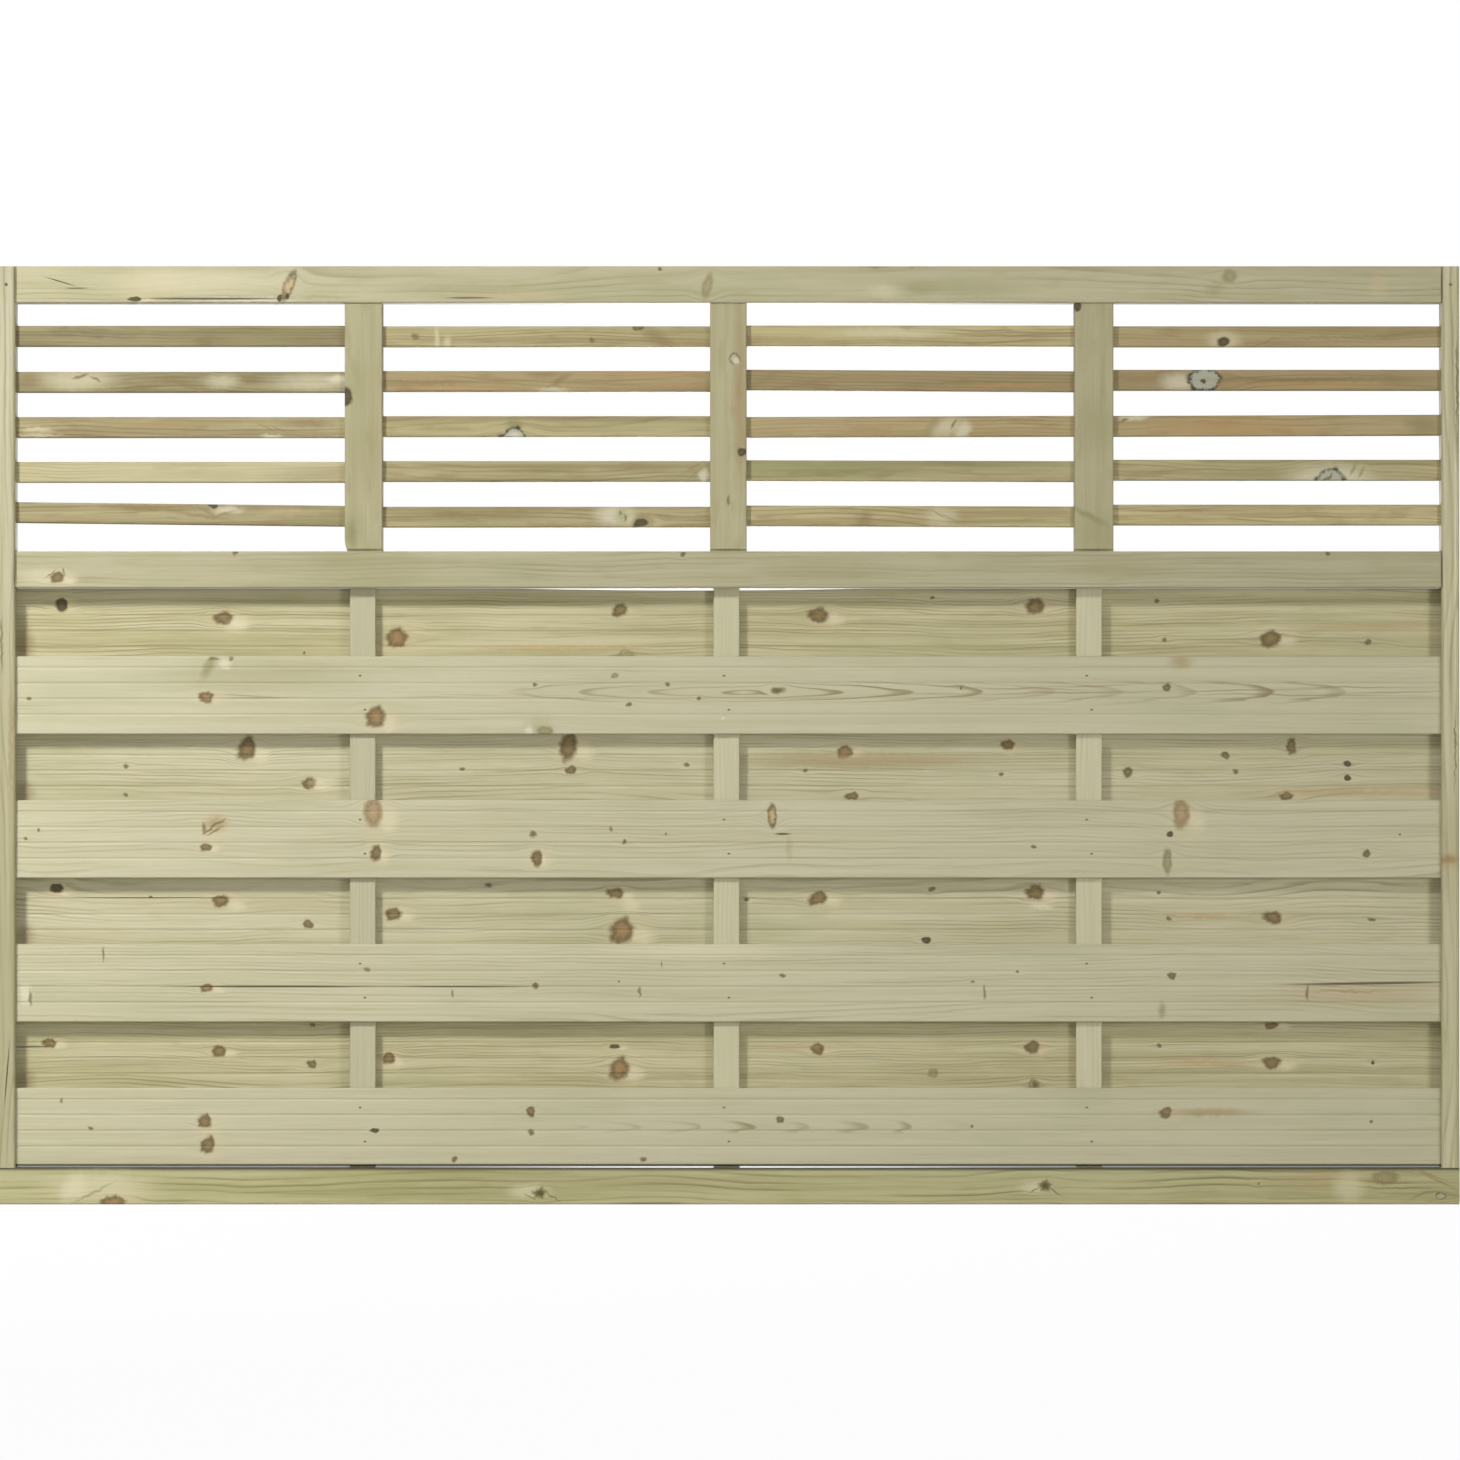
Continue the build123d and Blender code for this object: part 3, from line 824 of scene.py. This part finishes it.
def with_halos(listed, upright, dice):
    """The marks of one piece, with a warm blush and often a pale patch beside each large knot."""
    drawn = []
    for mark in (Mark(*entry) for entry in listed):
        if looks[mark.look].blush and mark.wide > blushing_knot and not upright:
            x, z = mark.x + 0.3 * mark.wide, mark.z - 0.3 * mark.tall * 0.5
            drawn.append(Mark("blush", x, z, mark.wide * 1.9, mark.tall * 1.5))
            if dice.random() < 0.7:
                x, z = mark.x + dice.uniform(0.6, 1) * mark.wide, mark.z - 0.3 * mark.tall
                drawn.append(Mark("pale patch", x, z, mark.wide, mark.tall * 0.7))
        drawn.append(mark)
    return drawn


def toned(timber, tone):
    """The same timber, lighter or darker."""
    shades = {}
    for part in ("pale", "tan", "line", "green"):
        red, green, blue, _ = getattr(timber, part)
        shades[part] = (red * tone, green * tone, blue * tone, 1)
    return timber._replace(**shades)


def ragged_face(wood, face, size, reach):
    """The face with a wobble of the given size and reach, so that no outline is smooth."""
    sockets = {"Vector": face, "Scale": 1 / size, "Detail": 2}
    cloud = wood.node("ShaderNodeTexNoise", None, sockets, "Color")
    cloud = wood.vector("SUBTRACT", cloud, (0.5, 0.5, 0.5))
    return wood.vector("MULTIPLY_ADD", cloud, (reach * 2, 0, reach * 2), face)


def knot_sway(wood, face, across, middle, upright, drawn):
    """How far the knots push the grain aside at each place."""
    sway = 0
    for mark in drawn:
        bend = looks[mark.look].bend
        if bend:
            wide = 0.9 * mark.wide + 4 if upright else 1.8 * mark.wide + 10
            tall = 1.8 * mark.tall + 10 if upright else 0.9 * mark.tall + 4
            push = wood.fade(spread(wood, face, mark, wide, tall), 1, 0.2) * (bend * knot_grip)
            centre = mark.x - middle.x if upright else mark.z - middle.z
            sway = (across - centre) * push + sway
    return sway


def growth_rings(wood, piece, timber, grain, low, middle, dice):
    """Dark late wood of the growth rings, 0 to 1, round a pith that wanders along the piece."""
    along, across, depth = wood.part(grain)
    ripple = stretched(wood, grain, 70, 14, dice) - 0.5
    if piece in hearts:
        heart = hearts[piece]
        drift = stretched(wood, grain, 60, 4000, dice, 1) - 0.5
        rise = abs(along - heart.x) * heart.slope + (depth - low.y + heart.depth) + drift * 2
        run = across - (heart.z - middle.z) + ripple * ring_ripple
    else:
        drift = stretched(wood, grain, 380, 4000, dice, 1) - 0.5
        sidle = stretched(wood, grain, 240, 4000, dice, 1) - 0.5
        rise = depth + drift * pith_drift - dice.choice((-1, 1)) * dice.uniform(*pith_depth)
        aside = dice.choice((-1, 1)) * dice.uniform(*timber.aside)
        run = across + sidle * pith_sidle + ripple * ring_ripple - aside
    ring = (rise**2 + run**2) ** 0.5 / timber.ring
    phase = wood.node("ShaderNodeMath", {"operation": "FRACT"}, {0: ring})
    late = wood.fade(phase, 0.6 if piece in hearts else 0.45, 0.9) * wood.fade(phase, 1, 0.92)
    vigour = wood.noise(wood.join(ring * 0.45, along / 260, dice.uniform(0, 90)), 2)
    vigour = wood.fade(vigour, 0.35, 0.7)
    if piece in hearts:
        near = wood.fade(abs(run), heart.reach, heart.reach * 0.28)
        near = near * wood.fade(along, heart.start - 60, heart.start + 20)
        vigour = (vigour + 0.5) * near * wood.fade(along, heart.end + 60, heart.end - 60) * 1.7
    return late * vigour


def cove_lines(wood, place, low, high, dice):
    """1 in the coves along a board's front, where the wood is drawn darker, unevenly."""
    x, y, z = wood.part(place)
    drop = (high.z - first_cove_drop - z) / cove_pitch
    nearest = wood.node("ShaderNodeMath", {"operation": "ROUND"}, {0: drop})
    nearest = wood.node("ShaderNodeClamp", None, {"Value": nearest, "Min": 0, "Max": cove_count - 1})
    wander = stretched(wood, place, 90, 400, dice, 3) - 0.5
    off = abs((drop - nearest) * cove_pitch + wander * cove_line_wander)
    line = wood.fade(off, cove_width * 0.5, cove_width * 0.1)
    strength = wood.fade(stretched(wood, place, 120, 30, dice, 2), 0.3, 0.7) * 0.6 + 0.4
    return line * strength * wood.fade(y, low.y + 1.2, low.y + 0.8)


def timber_finish(piece, timber, upright):
    """Planed softwood for one piece: growth rings, fibres, stains, knots and cracks, with painted
    shade in the joints and gaps and a painted glint.
    """
    wood = Finish("timber_" + piece)
    dice = random.Random(piece)
    low, high = [corner * mm_per_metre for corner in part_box(piece)]
    middle = (low + high) / 2
    place = place_in_mm(wood)
    x, y, z = wood.part(place)
    along = z if upright else x
    across = x - middle.x if upright else z - middle.z

    # Marks run askew through the wood, from their listed place on the front
    lean = dice.uniform(0.15, 0.4)
    face = wood.join(x + y * lean, 0, z + y * lean * 0.5)
    drawn = with_halos(marks.get(piece, []), upright, dice)
    straight = wood.vector("SUBTRACT", face, (lean * low.y, 0, lean * low.y * 0.5))
    ragged = ragged_face(wood, straight, *knot_wobble) if drawn else face
    wavy = ragged_face(wood, straight, *line_wobble) if drawn else face

    grain = wood.join(along, across - knot_sway(wood, ragged, across, middle, upright, drawn), y)
    rings = growth_rings(wood, piece, timber, grain, low, middle, dice)
    broad = wood.fade(stretched(wood, grain, 420, 10, dice, 3), 0.35, 0.7)
    fibre = stretched(wood, grain, 60, 0.9, dice, 2)
    hair = wood.fade(stretched(wood, grain, 150, 1.6, dice, 3), 0.6, 0.8)
    patch = wood.fade(stretched(wood, grain, 200, 50, dice, 2), 0.5, 0.75)
    cloud = stretched(wood, grain, 55, 14, dice, 3)

    shade = wood.mix(broad * timber.streaks, timber.pale, timber.tan)
    shade = wood.mix(wood.fade(cloud, 0.52, 0.75) * timber.mottle, shade, timber.tan)
    shade = wood.mix(wood.fade(cloud, 0.45, 0.25) * timber.mottle, shade, timber.pale)
    shade = wood.mix(rings * timber.lines, shade, timber.line)
    shade = wood.mix(patch * green_patches, shade, timber.green)
    shade = wood.mix(hair * (0.25 + 0.4 * timber.lines), shade, timber.line)
    shade = wood.mix(wood.fade(fibre, 0.45, 0.8) * fibre_shade, shade, timber.line)

    # The fine relief runs straight and leaves the knots alone, which keeps the bump quick
    straight_grain = wood.join(along, across, y)
    relief = stretched(wood, straight_grain, 60, 0.9, random.Random("relief of " + piece))
    relief = relief * fibre_relief
    if "board" in piece:
        shade = wood.mix(cove_lines(wood, place, low, high, dice) * cove_line_darkening, shade, timber.line)

    # Knots, stains and cracks, with painted shade, painted shadow and a painted glint
    faces = {"crack": straight, "joint dirt and shade": straight, "painted gap shadow": straight, "grain line": wavy}
    core = wood.noise(wood.scaled(face, 0.3), 3)
    for mark in drawn:
        look = looks[mark.look]
        seen = faces.get(mark.look, ragged)
        seen = leaning(wood, seen, mark) if mark.lean else seen
        spot = spread(wood, seen, mark, mark.wide / 2, mark.tall / 2)
        if look.blush and mark.wide > pointed_knot:
            spot = with_tail(wood, seen, mark, spot, dice)
        inside = look.shade
        if look.shade != look.rim:
            rim_place = spot + (core - 0.5) * (1.3 - look.hem)
            inside = wood.mix(wood.fade(rim_place, look.hem, 1), look.shade, look.rim)
        if look.rays:
            spot = with_rays(wood, seen, mark, spot, look.rays)
        cover = wood.fade(spot, 1 + look.softness, 1 - look.softness)
        shade = wood.mix(cover * look.cover, shade, inside)
        if mark.look == "crack":
            relief = relief + cover * crack_depth

    # End grain drinks more of the treatment and looks darker
    normal = wood.node("ShaderNodeNewGeometry", output="True Normal")
    grain_way = (0, 0, 1) if upright else (1, 0, 0)
    product = {"operation": "DOT_PRODUCT"}
    facing = wood.node("ShaderNodeVectorMath", product, {0: normal, 1: grain_way}, "Value")
    shade = wood.mix(wood.fade(abs(facing), 0.6, 0.9) * end_grain_shade, shade, timber.line)

    return wood.surface({
        "Base Color": shade,
        "Roughness": 0.66 - rings * 0.06,
        "Specular IOR Level": 0.3,
        "Normal": wood.bump(relief),
    })


def zinc_finish(name, pale, dark):
    """Hot-dip galvanised steel: a dull grey skin, spangled and a little uneven."""
    zinc = Finish(name)
    spangle = zinc.noise(zinc.scaled(place_in_mm(zinc), 0.8), 3)
    return zinc.surface({
        "Base Color": zinc.mix(zinc.fade(spangle, 0.3, 0.7), pale, dark),
        "Metallic": 0.8,
        "Roughness": 0.42 + spangle * 0.25,
        "Normal": zinc.bump(spangle * 0.08),
    })


def dress(name, material):
    """Gives a CAD node its finish."""
    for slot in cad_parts[name].material_slots:
        slot.material = material


# The kind of timber of the pieces whose names start like this, and whether their grain is upright
kinds = {
    "left_stile": ("stile", True),
    "right_stile": ("stile", True),
    "top_rail": ("frame", False),
    "mid_rail": ("frame", False),
    "bottom_rail": ("bottom", False),
    "muntin": ("muntin", True),
    "slat": ("slat", False),
    "batten": ("batten", True),
    "front_board": ("front", False),
    "back_board_2": ("pale back", False),
    "back_board_3": ("pale back", False),
    "back_board": ("back", False),
}
fixings = ("front_board_nails", "back_board_nails", "tenon_pins", "corner_screws")

for row, row_tones in enumerate(slat_tones, start=1):
    for bay, tone in enumerate(row_tones, start=1):
        tones[f"slat_row_{row}_bay_{bay}"] = tone

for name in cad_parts:
    if name in fixings:
        continue
    kind, upright = next(kinds[start] for start in kinds if name.startswith(start))
    dress(name, timber_finish(name, toned(timbers[kind], tones.get(name, 1)), upright))

nail_zinc = zinc_finish("galvanised_nails", colour(112, 106, 92), colour(78, 72, 60))
screw_zinc = zinc_finish("galvanised_screws", colour(176, 176, 170), colour(132, 132, 126))
for name in fixings:
    dress(name, screw_zinc if name == "corner_screws" else nail_zinc)


# The floor in metres, just under the panel so that the two don't touch
floor_size = 28
floor_drop = 0.0005


def white_floor():
    """A plain white floor that shows as white to the camera, but keeps the shadow behind."""
    half = floor_size / 2
    mesh = bpy.data.meshes.new("floor")
    corners = [(-half, -half, 0), (half, -half, 0), (half, half, 0), (-half, half, 0)]
    mesh.from_pydata(corners, [], [(0, 1, 2, 3)])
    floor = bpy.data.objects.new("floor", mesh)
    floor.location.z = -floor_drop
    scene.collection.objects.link(floor)
    paint = Finish("white_floor")
    seen = seen_directly(paint)
    grey = paint.node("ShaderNodeBsdfDiffuse", None, {"Color": colour(196, 196, 194)})
    chalk = paint.node("ShaderNodeBsdfDiffuse", None, {"Color": (1, 1, 1, 1)})
    ground = paint.node("ShaderNodeMixShader", None, {0: seen, 1: grey, 2: chalk})
    glow = paint.node("ShaderNodeEmission", None, {"Color": (1, 1, 1, 1), "Strength": 1})
    x, y, _ = paint.part(paint.node("ShaderNodeTexCoord", output="Object"))
    shadow = paint.fade(abs(x), 1.3, 0.85) * paint.fade(y, 0, 0.1) * paint.fade(y, 3, 1.2)
    shown = seen * (0.97 - shadow * 0.5)
    mixed = paint.node("ShaderNodeMixShader", None, {0: shown, 1: ground, 2: glow})
    paint.node("ShaderNodeOutputMaterial", None, {"Surface": mixed})
    mesh.materials.append(paint.material)


def seen_directly(paint):
    """1 for rays that the camera, a reflection or clear glass sends out, 0 for the light's own."""
    rays = paint.node("ShaderNodeLightPath", output="Is Camera Ray")
    others = rays.socket.node.outputs
    glossy = Value(paint, others["Is Glossy Ray"])
    clear = Value(paint, others["Is Transmission Ray"])
    return rays.maths("MAXIMUM", rays, glossy.maths("MAXIMUM", glossy, clear))


class Sky(Finish):
    """The world's own nodes, added in the same way as a material's."""

    def __init__(self):
        scene.world = bpy.data.worlds.new("studio")
        scene.world.use_nodes = True
        self.tree = scene.world.node_tree
        self.tree.nodes.clear()


def studio_fill(strength):
    """Even fill light from all round, in front of a white background."""
    sky = Sky()
    fill = sky.node("ShaderNodeBackground", None, {"Color": (1, 1, 1, 1), "Strength": strength})
    white = sky.node("ShaderNodeBackground", None, {"Color": (1, 1, 1, 1), "Strength": 1})
    mixed = sky.node("ShaderNodeMixShader", None, {0: seen_directly(sky), 1: fill, 2: white})
    sky.node("ShaderNodeOutputWorld", None, {"Surface": mixed})


def soft_lamp(name, place, aim, size, watts, spread=180):
    """A square softbox that points at the panel, with a grid that narrows its light."""
    light = bpy.data.lights.new(name, "AREA")
    light.size = size
    light.energy = watts
    light.spread = math.radians(spread)
    lamp = bpy.data.objects.new(name, light)
    lamp.location = place
    lamp.rotation_euler = (aim - place).to_track_quat("-Z", "Y").to_euler()
    scene.collection.objects.link(lamp)


# Each softbox has its place, its aim, its size in metres, its watts and how wide it spreads
white_floor()
studio_fill(0.08)
panel_middle = (cad_box[0] + cad_box[1]) / 2
soft_lamp("key_softbox", Vector((-2.3, -3.0, 3.1)), Vector((-1.5, 0, 0.5)), 0.6, 48, 90)
soft_lamp("side_softbox", Vector((2.4, -3.0, 0.6)), panel_middle, 0.6, 40)
soft_lamp("front_softbox", Vector((0, -8, 1.5)), panel_middle, 4, 122)
soft_lamp("back_softbox", Vector((0, 4, 0.35)), panel_middle, 0.6, 85)

# The camera stands square in front of the panel, a long way off. One pixel of the photograph
# spans the given width at the front of the frame.
picture_pixels = 1460
pixel_width = 0.001231
camera_reach = 11
camera_data = bpy.data.cameras.new("camera")
camera_data.sensor_width = 36
panel_distance = camera_reach + cad_box[0].y
camera_data.lens = camera_data.sensor_width * panel_distance / (picture_pixels * pixel_width)
camera_data.clip_end = 100
camera = bpy.data.objects.new("camera", camera_data)
camera.location = (0.002, -camera_reach, 0.5841)
camera.rotation_euler = (math.pi / 2, 0, 0)
scene.collection.objects.link(camera)
scene.camera = camera
scene.view_settings.view_transform = "Standard"
